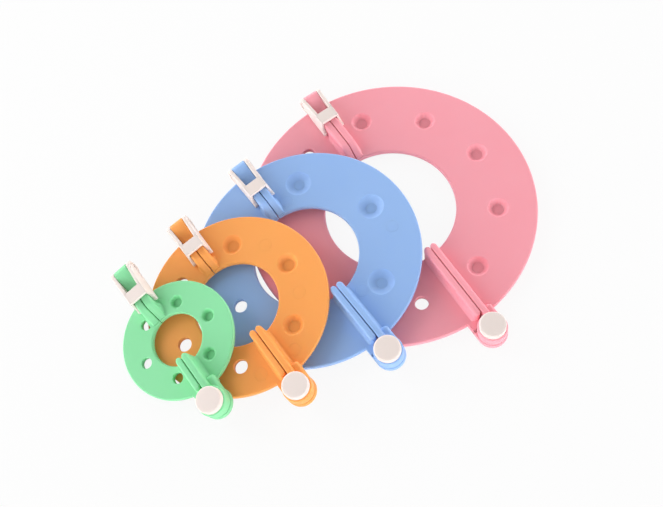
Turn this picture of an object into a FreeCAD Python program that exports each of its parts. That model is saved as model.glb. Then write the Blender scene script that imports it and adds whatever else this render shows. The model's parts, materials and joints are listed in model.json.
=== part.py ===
"""Set of four hinged ring frames for winding pom poms, fanned out and leaning on each other.

Each frame is two half-ring arms on a pin hinge, shut by a clasp that turns on a barrel.
Every frame is built in its own frame of reference: X runs from the ring's centre to the
hinge, Y to the arm with the dimples, Z up from the underside of the plate. Its placement
then leans it on the frame below. The origin is on the table under the middle of the set.
"""
import FreeCAD, Part
import math
import os
import Sketcher
from FreeCAD import Placement, Rotation, Vector

# Sizes that all four frames share, in millimetres and degrees.
COMMON_SIZES = {
    "plate_thickness": 2.4,
    "top_edge_round": 0.7,
    "bottom_edge_round": 0.35,
    "seam_gap": 0.3,
    "rib_height": 8.0,
    "rib_thickness": 2.3,
    "clasp_rib_thickness": 3.05,
    "rib_top_round": 0.8,
    "rib_end_reach": 0.6,
    "rib_overhang": 1.7,
    "rib_root_width": 1.2,
    "rib_root_height": 3.2,
    "ramp_length": 7.5,
    "ramp_end_height": 2.9,
    "ramp_round": 7.0,
    "ramp_setback": 0.2,
    "clasp_foot_width": 0.75,
    "clasp_foot_gap": 0.6,
    "hinge_reach": 7.0,
    "ear_radius": 6.0,
    "knuckle_radius": 5.8,
    "knuckle_top": 7.5,
    "neck_top": 5.4,
    "neck_depth": 5.0,
    "bearing_gap": 0.3,
    "pin_radius": 1.5,
    "running_clearance": 0.06,
    "flange_radius": 2.6,
    "flange_thickness": 1.0,
    "flange_clearance": 0.2,
    "cap_radius": 5.0,
    "cap_height": 2.8,
    "cap_edge_round": 0.8,
    "cap_socket_depth": 1.6,
    "barrel_axis_height": 5.9,
    "barrel_radius": 2.9,
    "barrel_width": 5.0,
    "barrel_inner_drop": 3.0,
    "barrel_back_gap": 0.6,
    "barrel_link_height": 5.4,
    "rib_end_inset": 0.9,
    "trunnion_radius": 1.6,
    "trunnion_inset": 0.25,
    "clasp_inner_width": 5.3,
    "cheek_thickness": 2.25,
    "cheek_taper": 0.4,
    "prong_gap_width": 6.8,
    "cheek_end_radius": 3.0,
    "clasp_top": 9.6,
    "bridge_length": 5.7,
    "bridge_clearance": 0.25,
    "bridge_to_barrel": 11.85,
    "prong_length": 1.5,
    "prong_tip_height": 1.4,
    "nub_depth": 1.6,
    "nub_clearance": 0.3,
    "nub_taper": 0.7,
    "dimple_depth": 3.0,
    "dimple_floor_radius": 0.6,
    "dimple_edge_round": 0.5,
    "rest_gap": 0.25,
    "cut_overrun": 2.0,
}

# Sizes that each frame has for itself. The places are on the table, from the middle of the set.
RING_SIZES = {
    "pink": {
        "outer_radius": 57.5,
        "inner_radius": 26.0,
        "dimple_radius": 3.5,
        "hole_radius": 2.65,
        "pattern_radius": 42.3,
        "pattern_turn": 0.0,
        "seam_offset": 1.6,
        "clasp_overhang": 1.7,
        "hinge_heading": -69.3,
        "rise_heading": 20.7,
        "place_x": 27.86,
        "place_y": 5.97,
    },
    "blue": {
        "outer_radius": 45.0,
        "inner_radius": 20.75,
        "dimple_radius": 4.5,
        "hole_radius": 2.6,
        "pattern_radius": 31.8,
        "pattern_turn": 0.0,
        "seam_offset": 1.2,
        "clasp_overhang": 1.0,
        "hinge_heading": -66.2,
        "rise_heading": 15.0,
        "place_x": -8.54,
        "place_y": -7.33,
    },
    "orange": {
        "outer_radius": 36.25,
        "inner_radius": 16.75,
        "dimple_radius": 3.5,
        "hole_radius": 2.7,
        "pattern_radius": 24.8,
        "pattern_turn": 0.0,
        "seam_offset": 0.2,
        "clasp_overhang": 3.65,
        "hinge_heading": -66.5,
        "rise_heading": 10.0,
        "place_x": -38.34,
        "place_y": -20.73,
    },
    "green": {
        "outer_radius": 23.0,
        "inner_radius": 10.2,
        "dimple_radius": 2.15,
        "hole_radius": 2.1,
        "pattern_radius": 14.8,
        "pattern_turn": -3.0,
        "seam_offset": -1.4,
        "clasp_overhang": 11.3,
        "hinge_heading": -66.2,
        "rise_heading": 20.0,
        "place_x": -62.54,
        "place_y": -29.13,
    },
}

# How many dimples, and how many holes, each frame has. They are spread evenly over an arm.
PATTERN_COUNT = {"pink": 5, "blue": 3, "orange": 3, "green": 3}

DIMPLE_SIDE = 1
HOLED_SIDE = -1
STEEPEST_LEAN = 30.0
LEAN_STEPS = 40
RIM_POINT_COUNT = 180
EAR_POINT_COUNT = 24

# How a sketch numbers the points of a line, an arc or a circle.
START_POINT, END_POINT, CENTRE_POINT = 1, 2, 3

doc = FreeCAD.newDocument("pom_pom_frames")


def fill_sheet():
    """Write every driving dimension to one spreadsheet, each with its alias."""
    page = doc.addObject("Spreadsheet::Sheet", "sheet")
    rows = list(COMMON_SIZES.items())
    for colour, sizes in RING_SIZES.items():
        rows += [(f"{colour}_{name}", size) for name, size in sizes.items()]
    for row, (alias, size) in enumerate(rows, start=1):
        page.set(f"A{row}", alias)
        page.set(f"B{row}", str(size))
        page.setAlias(f"B{row}", alias)
    doc.recompute()
    return page


sheet = fill_sheet()


def size_of(alias):
    """Read one driving dimension back from the sheet."""
    return float(sheet.get(alias))


class Ring:
    """Names of one frame's sizes, as expressions on the sheet, and the side they are for."""

    def __init__(self, colour, side=DIMPLE_SIDE):
        self.colour = colour
        self.side = side
        for name in COMMON_SIZES:
            setattr(self, name, f"sheet.{name}")
        for name in RING_SIZES[colour]:
            setattr(self, name, f"sheet.{colour}_{name}")
        self.pivot = f"({self.outer_radius} + {self.hinge_reach})"
        self.clasp_reach = f"({self.outer_radius} + {self.clasp_overhang})"
        self.bridge = f"({self.clasp_reach} - {self.bridge_to_barrel})"
        self.bridge_outer = f"({self.bridge} + {self.bridge_length} / 2)"
        self.bridge_inner = f"({self.bridge} - {self.bridge_length} / 2)"
        self.prong_tip = f"({self.bridge_inner} - {self.prong_length})"
        self.rib_end = f"({self.bridge_outer} - {self.rib_end_inset})"
        self.ramp_end = f"({self.inner_radius} + {self.top_edge_round} + {self.ramp_setback})"

    def across(self, distance):
        """Y of a point that lies this far from the seam, on this arm's side."""
        return f"{self.seam_offset} + {self.side} * ({distance})"


def origin_plane(body, role):
    """One of a body's own three base planes."""
    return next(plane for plane in body.Origin.OriginFeatures if plane.Role == role)


def sketch_on(body, name, role, offset="0"):
    """Start a sketch on a base plane, moved along the plane's normal."""
    sketch = body.newObject("Sketcher::SketchObject", name)
    sketch.AttachmentSupport = (origin_plane(body, role), [""])
    sketch.MapMode = "FlatFace"
    sketch.setExpression("AttachmentOffset.Base.z", offset)
    return sketch


def pin_down(sketch, geometry, end, place):
    """Fix a point of the sketch at a place given by two expressions."""
    for kind, expression in zip(("DistanceX", "DistanceY"), place):
        value = float(sketch.evalExpression(expression))
        index = sketch.addConstraint(Sketcher.Constraint(kind, geometry, end, value))
        sketch.setExpression(f"Constraints[{index}]", expression)


def draw_outline(sketch, corners):
    """Draw a closed outline through corners, each a pair of expressions."""
    places = [Vector(*(float(sketch.evalExpression(part)) for part in corner)) for corner in corners]
    lines = []
    for start, end in zip(places, places[1:] + places[:1]):
        lines.append(sketch.addGeometry(Part.LineSegment(start, end), False))
    for line, following in zip(lines, lines[1:] + lines[:1]):
        sketch.addConstraint(Sketcher.Constraint("Coincident", line, END_POINT, following, START_POINT))
    for line, corner in zip(lines, corners):
        pin_down(sketch, line, START_POINT, corner)


def draw_circle(sketch, centre, radius):
    """Draw a circle whose centre and radius are expressions."""
    place = Vector(*(float(sketch.evalExpression(part)) for part in centre))
    value = float(sketch.evalExpression(radius))
    circle = sketch.addGeometry(Part.Circle(place, Vector(0, 0, 1), value), False)
    pin_down(sketch, circle, CENTRE_POINT, centre)
    index = sketch.addConstraint(Sketcher.Constraint("Radius", circle, value))
    sketch.setExpression(f"Constraints[{index}]", radius)


def box_corners(low_x, high_x, low_y, high_y):
    """Corners of a rectangle, for draw_outline."""
    return [(low_x, low_y), (high_x, low_y), (high_x, high_y), (low_x, high_y)]


def pad(body, name, sketch, length, reverse=False, midplane=False):
    """Add material along the sketch's normal."""
    feature = body.newObject("PartDesign::Pad", name)
    feature.Profile = sketch
    feature.Reversed = reverse
    feature.Midplane = midplane
    feature.setExpression("Length", length)
    doc.recompute()
    return feature


def pocket_through(body, name, sketch):
    """Cut all the way through, both ways from the sketch, and check that it cut."""
    volume_before = body.Shape.Volume
    feature = body.newObject("PartDesign::Pocket", name)
    feature.Profile = sketch
    feature.Type = "ThroughAll"
    feature.Midplane = True
    doc.recompute()
    check_cut(body, name, volume_before)
    return feature


def pocket_up(body, name, sketch, depth):
    """Cut upwards from the sketch, and check that it cut."""
    volume_before = body.Shape.Volume
    feature = body.newObject("PartDesign::Pocket", name)
    feature.Profile = sketch
    feature.Reversed = True
    feature.setExpression("Length", depth)
    doc.recompute()
    check_cut(body, name, volume_before)
    return feature


def check_cut(body, name, volume_before):
    """Stop if a cut took nothing away."""
    if body.Shape.Volume >= volume_before - 1e-6:
        raise RuntimeError(f"{body.Label}: {name} cut nothing")


def turn_profile(body, name, sketch):
    """Turn a sketch on the XZ plane about its own vertical axis."""
    feature = body.newObject("PartDesign::Revolution", name)
    feature.Profile = sketch
    feature.ReferenceAxis = (sketch, ["V_Axis"])
    feature.Angle = 360
    doc.recompute()
    return feature


def round_edges(body, name, radius, chosen):
    """Fillet the edges of the body's tip that the test picks out."""
    base = body.Tip
    names = [f"Edge{index}" for index, edge in enumerate(base.Shape.Edges, start=1) if chosen(edge)]
    if not names:
        raise RuntimeError(f"{body.Label}: {name} found no edge")
    feature = body.newObject("PartDesign::Fillet", name)
    feature.Base = (base, names)
    feature.setExpression("Radius", radius)
    doc.recompute()
    if feature.Shape.isNull() or "Invalid" in feature.State:
        raise RuntimeError(f"{body.Label}: {name} failed on {len(names)} edges")
    return feature


def lies_at_height(edge, height, tolerance=1e-4):
    """True for an edge that is level and at this height."""
    box = edge.BoundBox
    return abs(box.ZMin - height) < tolerance and abs(box.ZMax - height) < tolerance


def new_body(label):
    """Start a sub-part; its label is also the name of its file."""
    body = doc.addObject("PartDesign::Body", label)
    body.Label = label
    return body


def half_plate(body, ring):
    """Full ring with rounded rims, cut back to this arm's half at the seam."""
    sketch = sketch_on(body, "plate_section", "XZ_Plane")
    draw_outline(sketch, box_corners(ring.inner_radius, ring.outer_radius, "0", ring.plate_thickness))
    turn_profile(body, "plate", sketch)
    thickness = size_of("plate_thickness")
    round_edges(body, "top_rims", ring.top_edge_round, lambda edge: lies_at_height(edge, thickness))
    round_edges(body, "bottom_rims", ring.bottom_edge_round, lambda edge: lies_at_height(edge, 0.0))
    sketch = sketch_on(body, "other_half", "XY_Plane")
    reach = f"2 * {ring.outer_radius}"
    seam = ring.across(f"{ring.seam_gap} / 2")
    draw_outline(sketch, box_corners(f"-{reach}", reach, seam, ring.across(f"-{reach}")))
    pocket_through(body, "split", sketch)


def pattern_angle(ring, place):
    """Heading of one dimple or hole of an evenly spread row, for an expression."""
    count = PATTERN_COUNT[ring.colour]
    step = 180.0 / count
    return f"({ring.pattern_turn} + {ring.side * (place + 0.5) * step})"


def pattern_centres(ring):
    """Centres of this arm's dimples or holes."""
    for place in range(PATTERN_COUNT[ring.colour]):
        angle = pattern_angle(ring, place)
        turn = f"{angle} * 1 deg"
        yield (f"{ring.pattern_radius} * cos({turn})", f"{ring.pattern_radius} * sin({turn})")


def register_holes(body, ring):
    """See-through holes that take the nubs of a second frame of the same size."""
    sketch = sketch_on(body, "hole_places", "XY_Plane")
    for centre in pattern_centres(ring):
        draw_circle(sketch, centre, ring.hole_radius)
    pocket_through(body, "register_holes", sketch)


def register_nubs(body, ring):
    """Blunt pegs under the plate, each narrower at its tip."""
    levels = (("nub_roots", "0", "1"), ("nub_tips", f"-{ring.nub_depth}", ring.nub_taper))
    for place, centre in enumerate(pattern_centres(ring), start=1):
        sketches = []
        for name, height, share in levels:
            sketch = sketch_on(body, f"{name}_{place}", "XY_Plane", height)
            draw_circle(sketch, centre, f"({ring.hole_radius} - {ring.nub_clearance}) * {share}")
            sketches.append(sketch)
        loft = body.newObject("PartDesign::AdditiveLoft", f"nub_{place}")
        loft.Profile = sketches[0]
        loft.Sections = [sketches[1]]
        loft.Ruled = True
        doc.recompute()


def register_dimples(body, ring):
    """Cone-shaped hollows over the nubs, with a soft lip."""
    floor_height = f"{ring.plate_thickness} - {ring.dimple_depth}"
    levels = (
        ("dimple_mouths", ring.plate_thickness, ring.dimple_radius),
        ("dimple_floors", floor_height, ring.dimple_floor_radius),
    )
    for place, centre in enumerate(pattern_centres(ring), start=1):
        volume_before = body.Shape.Volume
        sketches = []
        for name, height, radius in levels:
            sketch = sketch_on(body, f"{name}_{place}", "XY_Plane", height)
            draw_circle(sketch, centre, radius)
            sketches.append(sketch)
        loft = body.newObject("PartDesign::SubtractiveLoft", f"dimple_{place}")
        loft.Profile = sketches[0]
        loft.Sections = [sketches[1]]
        loft.Ruled = True
        doc.recompute()
        check_cut(body, loft.Label, volume_before)
    mouth = size_of(f"{ring.colour}_dimple_radius")
    thickness = size_of("plate_thickness")

    def is_mouth(edge):
        """Level, at the top of the plate, and as wide as a dimple."""
        return lies_at_height(edge, thickness) and abs(edge.BoundBox.XLength - 2 * mouth) < 1e-3

    round_edges(body, "dimple_lips", ring.dimple_edge_round, is_mouth)


def draw_slot(sketch, start, end, low, high):
    """Draw a wall's plan: two straight sides and a half circle at each end."""
    middle = f"(({low}) + ({high})) / 2"
    half = f"abs(({high}) - ({low})) / 2"
    corners = [
        (f"({start}) + {half}", low),
        (f"({end}) - {half}", low),
        (f"({end}) - {half}", high),
        (f"({start}) + {half}", high),
    ]
    places = [Vector(*(float(sketch.evalExpression(part)) for part in corner)) for corner in corners]
    tips = [
        Vector(*(float(sketch.evalExpression(part)) for part in tip))
        for tip in ((end, middle), (start, middle))
    ]
    sides = []
    for first, second in ((0, 1), (2, 3)):
        side = sketch.addGeometry(Part.LineSegment(places[first], places[second]), False)
        pin_down(sketch, side, START_POINT, corners[first])
        pin_down(sketch, side, END_POINT, corners[second])
        sides.append(side)
    for tip, (first, second) in zip(tips, ((1, 2), (3, 0))):
        arc = sketch.addGeometry(Part.Arc(places[first], tip, places[second]), False)
        before, after = (sides[0], sides[1]) if first == 1 else (sides[1], sides[0])
        near, far = START_POINT, END_POINT
        if sketch.getPoint(arc, near).distanceToPoint(places[first]) > 1e-6:
            near, far = far, near
        sketch.addConstraint(Sketcher.Constraint("Coincident", before, END_POINT, arc, near))
        sketch.addConstraint(Sketcher.Constraint("Coincident", after, START_POINT, arc, far))
        value = sketch.getPoint(arc, CENTRE_POINT).x
        index = sketch.addConstraint(Sketcher.Constraint("DistanceX", arc, CENTRE_POINT, value))
        sketch.setExpression(f"Constraints[{index}]", corners[first][0])


def hinge_rib(body, ring):
    """Round-ended wall along the seam from the hole to the hinge, on a sloped foot."""
    seam = ring.across(f"{ring.seam_gap} / 2")
    flank = ring.across(f"{ring.seam_gap} / 2 + {ring.rib_thickness}")
    start = f"({ring.inner_radius} - {ring.rib_overhang})"
    end = f"({ring.outer_radius} + {ring.rib_end_reach})"
    sketch = sketch_on(body, "hinge_rib_plan", "XY_Plane")
    draw_slot(sketch, start, end, seam, flank)
    pad(body, "hinge_rib", sketch, ring.rib_height)
    height = size_of("rib_height")
    round_edges(body, "hinge_rib_top", ring.rib_top_round, lambda edge: lies_at_height(edge, height))
    foot = ring.across(f"{ring.seam_gap} / 2 + {ring.rib_thickness} + {ring.rib_root_width}")
    inner = ring.across(f"{ring.seam_gap} / 2 + {ring.rib_thickness} / 2")
    foot_start = f"({start} + {ring.rib_thickness} / 2)"
    sketch = sketch_on(body, "rib_foot_section", "YZ_Plane", foot_start)
    draw_outline(
        sketch,
        [
            (inner, "0"),
            (foot, "0"),
            (foot, ring.plate_thickness),
            (flank, f"{ring.plate_thickness} + {ring.rib_root_height}"),
            (inner, f"{ring.plate_thickness} + {ring.rib_root_height}"),
        ],
    )
    pad(body, "rib_foot", sketch, f"{ring.outer_radius} - {ring.top_edge_round} - {foot_start}")


def clasp_rib(body, ring):
    """Wall along the seam from under the bridge to the hole, where it ramps down to the plate."""
    seam = f"{ring.seam_gap} / 2"
    sketch = sketch_on(body, "clasp_rib_profile", "XZ_Plane", f"-({ring.across(seam)})")
    foot_end = f"-{ring.ramp_end}"
    draw_outline(
        sketch,
        [
            (f"-{ring.rib_end}", "0"),
            (f"-{ring.rib_end}", ring.rib_height),
            (f"-({ring.inner_radius} + {ring.ramp_length})", ring.rib_height),
            (foot_end, ring.ramp_end_height),
            (foot_end, "0"),
        ],
    )
    pad(body, "clasp_rib", sketch, ring.clasp_rib_thickness, reverse=ring.side == DIMPLE_SIDE)
    high = size_of("rib_height")
    bend = -(size_of(f"{ring.colour}_inner_radius") + size_of("ramp_length"))

    def is_ramp_bend(edge):
        """Level edge across the rib, where the ramp starts."""
        box = edge.BoundBox
        return abs(box.XMin - bend) < 1e-3 and abs(box.XMax - bend) < 1e-3 and box.ZMin > high - 1e-3

    round_edges(body, "ramp_bend", ring.ramp_round, is_ramp_bend)
    clasp_rib_foot(body, ring)


def clasp_rib_foot(body, ring):
    """Sloped foot of the clasp rib between the prongs and the hole. It sinks with the ramp."""
    wall = f"{ring.seam_gap} / 2 + {ring.clasp_rib_thickness}"
    flank = ring.across(wall)
    foot = ring.across(f"{wall} + {ring.clasp_foot_width}")
    inner = ring.across(f"{wall} / 2")
    outer_end = f"({ring.prong_tip} - {ring.clasp_foot_gap})"
    top = f"{ring.plate_thickness} + {ring.rib_root_height}"
    levels = (("clasp_foot_outer", outer_end, top), ("clasp_foot_inner", ring.ramp_end, ring.ramp_end_height))
    sketches = []
    for name, reach, height in levels:
        sketch = sketch_on(body, name, "YZ_Plane", f"-{reach}")
        corners = [(inner, "0"), (foot, "0"), (foot, ring.plate_thickness), (flank, height), (inner, height)]
        draw_outline(sketch, corners)
        sketches.append(sketch)
    loft = body.newObject("PartDesign::AdditiveLoft", "clasp_rib_foot")
    loft.Profile = sketches[0]
    loft.Sections = [sketches[1]]
    loft.Ruled = True
    doc.recompute()


def upper_knuckle(body, ring):
    """Round post over the lower ear, and the neck that carries it from the plate."""
    underside = f"({ring.plate_thickness} + {ring.bearing_gap})"
    sketch = sketch_on(body, "knuckle_circle", "XY_Plane", underside)
    draw_circle(sketch, (ring.pivot, ring.seam_offset), ring.knuckle_radius)
    pad(body, "knuckle", sketch, f"{ring.knuckle_top} - {underside}")
    seam_side = ring.across(f"{ring.seam_gap} / 2")
    outer_side = ring.across(ring.knuckle_radius)
    start = f"({ring.outer_radius} - {ring.neck_depth})"
    sketch = sketch_on(body, "neck_bridge", "XY_Plane", underside)
    draw_outline(sketch, box_corners(start, ring.pivot, seam_side, outer_side))
    pad(body, "neck_over_ear", sketch, f"{ring.neck_top} - {underside}")
    stop = f"({ring.pivot} - {ring.ear_radius} - {ring.bearing_gap})"
    sketch = sketch_on(body, "neck_foot", "XY_Plane")
    draw_outline(sketch, box_corners(start, stop, seam_side, outer_side))
    pad(body, "neck", sketch, ring.neck_top)


def lower_ear(body, ring):
    """Round ear level with the plate, and the neck that carries it."""
    sketch = sketch_on(body, "ear_circle", "XY_Plane")
    draw_circle(sketch, (ring.pivot, ring.seam_offset), ring.ear_radius)
    pad(body, "ear", sketch, ring.plate_thickness)
    sketch = sketch_on(body, "ear_neck_outline", "XY_Plane")
    start = f"({ring.outer_radius} - {ring.neck_depth})"
    seam_side = ring.across(f"{ring.seam_gap} / 2")
    draw_outline(sketch, box_corners(start, ring.pivot, seam_side, ring.across(ring.ear_radius)))
    pad(body, "ear_neck", sketch, ring.plate_thickness)


def pivot_bore(body, ring):
    """Bore for the hinge pin, with running clearance."""
    sketch = sketch_on(body, "bore_circle", "XY_Plane")
    draw_circle(sketch, (ring.pivot, ring.seam_offset), f"{ring.pin_radius} + {ring.running_clearance}")
    pocket_through(body, "pivot_bore", sketch)


def flange_recess(body, ring):
    """Counterbore in the underside that hides the pin's flange."""
    sketch = sketch_on(body, "recess_circle", "XY_Plane")
    draw_circle(sketch, (ring.pivot, ring.seam_offset), f"{ring.flange_radius} + {ring.flange_clearance}")
    pocket_up(body, "flange_recess", sketch, f"{ring.flange_thickness} + {ring.flange_clearance}")


def barrel_link(body, ring):
    """Low wall that carries the barrel out from the end of this arm's rib, between the cheeks."""
    sketch = sketch_on(body, "barrel_link_profile", "XZ_Plane", f"-({ring.across(f'{ring.seam_gap} / 2')})")
    outer_end = f"-({ring.bridge_outer} + 2 * {ring.barrel_back_gap})"
    inner_end = f"-({ring.rib_end} - {ring.barrel_back_gap})"
    low = f"({ring.plate_thickness} + {ring.bearing_gap})"
    draw_outline(sketch, box_corners(outer_end, inner_end, low, ring.barrel_link_height))
    pad(body, "barrel_link", sketch, f"({ring.barrel_width} - {ring.seam_gap}) / 2", reverse=True)


def clasp_barrel(body, ring):
    """Round-ended block across the seam, which the clasp turns on, with its two trunnions."""
    back = f"-({ring.seam_offset})"
    block_bottom = f"({ring.plate_thickness} + {ring.bearing_gap})"
    block_top = f"({ring.barrel_axis_height} + {ring.barrel_radius})"
    sketch = sketch_on(body, "barrel_circle", "XZ_Plane", back)
    draw_circle(sketch, (f"-{ring.clasp_reach}", ring.barrel_axis_height), ring.barrel_radius)
    pad(body, "barrel", sketch, ring.barrel_width, midplane=True)
    inner_face = f"-({ring.bridge_outer} + {ring.barrel_back_gap})"
    sketch = sketch_on(body, "barrel_root_profile", "XZ_Plane", back)
    draw_outline(
        sketch,
        [
            (f"-{ring.clasp_reach}", f"{ring.barrel_axis_height} - {ring.barrel_radius}"),
            (f"-{ring.clasp_reach}", block_top),
            (inner_face, f"{block_top} - {ring.barrel_inner_drop}"),
            (inner_face, block_bottom),
        ],
    )
    pad(body, "barrel_root", sketch, ring.barrel_width, midplane=True)
    sketch = sketch_on(body, "trunnion_circle", "XZ_Plane", back)
    draw_circle(sketch, (f"-{ring.clasp_reach}", ring.barrel_axis_height), ring.trunnion_radius)
    outer_width = f"({ring.clasp_inner_width} + 2 * {ring.cheek_thickness})"
    pad(body, "trunnions", sketch, f"{outer_width} - 2 * {ring.trunnion_inset}", midplane=True)


def build_dimple_arm(colour):
    """Right half: rib, upper knuckle, clasp barrel, dimples on top and nubs below."""
    ring = Ring(colour, DIMPLE_SIDE)
    body = new_body(f"{colour}_dimple_arm")
    half_plate(body, ring)
    register_nubs(body, ring)
    register_dimples(body, ring)
    hinge_rib(body, ring)
    clasp_rib(body, ring)
    upper_knuckle(body, ring)
    barrel_link(body, ring)
    clasp_barrel(body, ring)
    pivot_bore(body, ring)
    return body


def build_holed_arm(colour):
    """Left half: rib, lower ear with the pin's recess, and the see-through holes."""
    ring = Ring(colour, HOLED_SIDE)
    body = new_body(f"{colour}_holed_arm")
    half_plate(body, ring)
    hinge_rib(body, ring)
    clasp_rib(body, ring)
    register_holes(body, ring)
    lower_ear(body, ring)
    pivot_bore(body, ring)
    flange_recess(body, ring)
    return body


def build_hinge_pin(colour):
    """Rivet with its flange down, turned about the pivot."""
    ring = Ring(colour)
    body = new_body(f"{colour}_hinge_pin")
    sketch = sketch_on(body, "flange_circle", "XY_Plane", f"{ring.flange_clearance} / 2")
    draw_circle(sketch, (ring.pivot, ring.seam_offset), ring.flange_radius)
    pad(body, "flange", sketch, ring.flange_thickness)
    sketch = sketch_on(body, "shank_circle", "XY_Plane", f"{ring.flange_clearance} / 2")
    draw_circle(sketch, (ring.pivot, ring.seam_offset), ring.pin_radius)
    shank_top = f"{ring.knuckle_top} + {ring.cap_socket_depth} - {ring.running_clearance}"
    pad(body, "shank", sketch, f"{shank_top} - {ring.flange_clearance} / 2")
    return body


def build_hinge_cap(colour):
    """Round button with a soft top edge and a blind socket for the pin."""
    ring = Ring(colour)
    body = new_body(f"{colour}_hinge_cap")
    sketch = sketch_on(body, "cap_circle", "XY_Plane", ring.knuckle_top)
    draw_circle(sketch, (ring.pivot, ring.seam_offset), ring.cap_radius)
    pad(body, "button", sketch, ring.cap_height)
    top = size_of("knuckle_top") + size_of("cap_height")
    round_edges(body, "button_edge", ring.cap_edge_round, lambda edge: lies_at_height(edge, top))
    sketch = sketch_on(body, "socket_circle", "XY_Plane", ring.knuckle_top)
    draw_circle(sketch, (ring.pivot, ring.seam_offset), f"{ring.pin_radius} + {ring.running_clearance}")
    pocket_up(body, "pin_socket", sketch, ring.cap_socket_depth)
    return body


def build_clasp(colour):
    """Two cheeks that straddle the ribs, joined by a bridge, pivoted on the barrel."""
    ring = Ring(colour)
    body = new_body(f"{colour}_clasp")
    axis = f"-{ring.clasp_reach}"
    outer_width = f"({ring.clasp_inner_width} + 2 * {ring.cheek_thickness})"
    back = f"-({ring.seam_offset})"
    low = f"({ring.barrel_axis_height} - {ring.cheek_end_radius})"
    prong_tip = f"-{ring.prong_tip}"
    sketch = sketch_on(body, "cheek_profile", "XZ_Plane", back)
    draw_outline(
        sketch,
        [
            (axis, low),
            (axis, f"{ring.barrel_axis_height} + {ring.cheek_end_radius}"),
            (f"-{ring.bridge_outer}", ring.clasp_top),
            (f"-{ring.bridge_inner}", ring.clasp_top),
            (prong_tip, f"{low} + {ring.prong_tip_height}"),
            (prong_tip, low),
        ],
    )
    pad(body, "cheeks", sketch, outer_width, midplane=True)
    sketch = sketch_on(body, "cheek_end_circle", "XZ_Plane", back)
    draw_circle(sketch, (axis, ring.barrel_axis_height), ring.cheek_end_radius)
    pad(body, "cheek_ends", sketch, outer_width, midplane=True)
    for sign, side in (("-", "left"), ("+", "right")):
        sketch = sketch_on(body, f"{side}_taper", "XY_Plane")
        face = f"{ring.seam_offset} {sign} {outer_width} / 2"
        beyond = f"{face} {sign} {ring.cut_overrun}"
        narrow = f"{ring.seam_offset} {sign} ({outer_width} / 2 - {ring.cheek_taper})"
        draw_outline(sketch, [(axis, face), (prong_tip, narrow), (prong_tip, beyond), (axis, beyond)])
        pocket_through(body, f"{side}_side", sketch)
    window = [f"{ring.seam_offset} {sign} {ring.clasp_inner_width} / 2" for sign in ("-", "+")]
    channel = [f"{ring.seam_offset} {sign} {ring.prong_gap_width} / 2" for sign in ("-", "+")]
    beyond_barrel = f"{axis} - {ring.cheek_end_radius} - {ring.cut_overrun}"
    beyond_prongs = f"{prong_tip} + {ring.cut_overrun}"
    sketch = sketch_on(body, "barrel_window", "XY_Plane")
    draw_outline(sketch, box_corners(beyond_barrel, f"-{ring.bridge_outer}", *window))
    pocket_through(body, "open_end", sketch)
    sketch = sketch_on(body, "prong_slot", "XY_Plane")
    draw_outline(sketch, box_corners(f"-{ring.bridge_inner}", beyond_prongs, *channel))
    pocket_through(body, "between_prongs", sketch)
    sketch = sketch_on(body, "under_bridge", "XY_Plane")
    draw_outline(sketch, box_corners(f"-{ring.bridge_outer}", beyond_prongs, *channel))
    pocket_up(body, "rib_channel", sketch, f"{ring.rib_height} + {ring.bridge_clearance}")
    sketch = sketch_on(body, "trunnion_bore_circle", "XZ_Plane", back)
    bore = f"{ring.trunnion_radius} + {ring.running_clearance}"
    draw_circle(sketch, (axis, ring.barrel_axis_height), bore)
    pocket_through(body, "trunnion_bores", sketch)
    return body


def lean_placement(colour, lean):
    """Placement of a frame that leans by this angle, with its low rim on the table."""
    heading = size_of(f"{colour}_rise_heading")
    yaw = size_of(f"{colour}_hinge_heading")
    radius = size_of(f"{colour}_outer_radius") - size_of("bottom_edge_round")
    slope = math.radians(lean)
    rim_drop = radius * math.sin(slope)
    edge_drop = size_of("bottom_edge_round") * (1 - math.cos(slope))
    across = Vector(math.sin(math.radians(heading)), -math.cos(math.radians(heading)), 0)
    turn = Rotation(across, lean).multiply(Rotation(Vector(0, 0, 1), yaw))
    place = Vector(size_of(f"{colour}_place_x"), size_of(f"{colour}_place_y"), rim_drop + edge_drop)
    return Placement(place, turn)


def circle_points(centre, radius, height, samples):
    """Points round a level circle in a frame's own coordinates."""
    for index in range(samples):
        angle = 2 * math.pi * index / samples
        yield centre + Vector(radius * math.cos(angle), radius * math.sin(angle), height)


def underside_points(colour):
    """Points under a frame that may touch what lies below: nub tips and the lower ear."""
    count = PATTERN_COUNT[colour]
    tip_radius = (size_of(f"{colour}_hole_radius") - size_of("nub_clearance")) * size_of("nub_taper")
    pattern = size_of(f"{colour}_pattern_radius")
    for place in range(count):
        angle = math.radians(size_of(f"{colour}_pattern_turn") + (place + 0.5) * 180 / count)
        centre = Vector(pattern * math.cos(angle), pattern * math.sin(angle), 0)
        yield from circle_points(centre, tip_radius, -size_of("nub_depth"), EAR_POINT_COUNT)
    pivot = Vector(
        size_of(f"{colour}_outer_radius") + size_of("hinge_reach"),
        size_of(f"{colour}_seam_offset"),
        0,
    )
    yield from circle_points(pivot, size_of("ear_radius"), 0, EAR_POINT_COUNT)


def rim_points(colour):
    """Points round the rounded top edge of a frame's outer rim."""
    radius = size_of(f"{colour}_outer_radius")
    height = size_of("plate_thickness")
    edge = size_of("top_edge_round")
    for angle in (0, 45, 90):
        inward = edge * (1 - math.cos(math.radians(angle)))
        down = edge * (1 - math.sin(math.radians(angle)))
        yield from circle_points(Vector(0, 0, 0), radius - inward, height - down, RIM_POINT_COUNT)


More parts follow.
